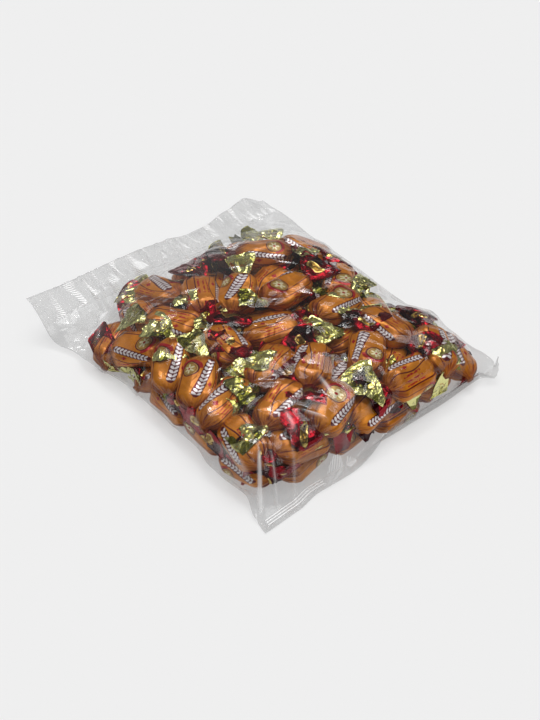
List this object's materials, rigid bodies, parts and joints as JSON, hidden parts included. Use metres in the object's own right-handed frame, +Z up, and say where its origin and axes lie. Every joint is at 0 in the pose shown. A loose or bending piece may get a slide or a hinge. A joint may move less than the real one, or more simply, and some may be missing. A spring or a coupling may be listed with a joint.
{
  "type": "clear sealed bag of twist-wrapped sweets",
  "caption": "Clear film pouch lying flat, heat-sealed across both ends and filled with twist-wrapped sweets in amber, gold and red wrappers.",
  "frame": {"origin": "under the middle of the bag's bounding box, on the surface it lies on", "axes": "+Z up; +Y along the bag from the near heat seal to the far one; +X along the seals"},
  "size_m": [0.224, 0.269, 0.047],
  "materials": {
    "film": "clear polypropylene film, glossy, creased, crimped at the seals",
    "wrapper": null,
    "gold_twist": "crumpled metallised film, green-gold",
    "red_twist": "crumpled metallised film, red"
  },
  "bodies": {
    "root": {"filled_bag": "film"}
  },
  "joints": []
}
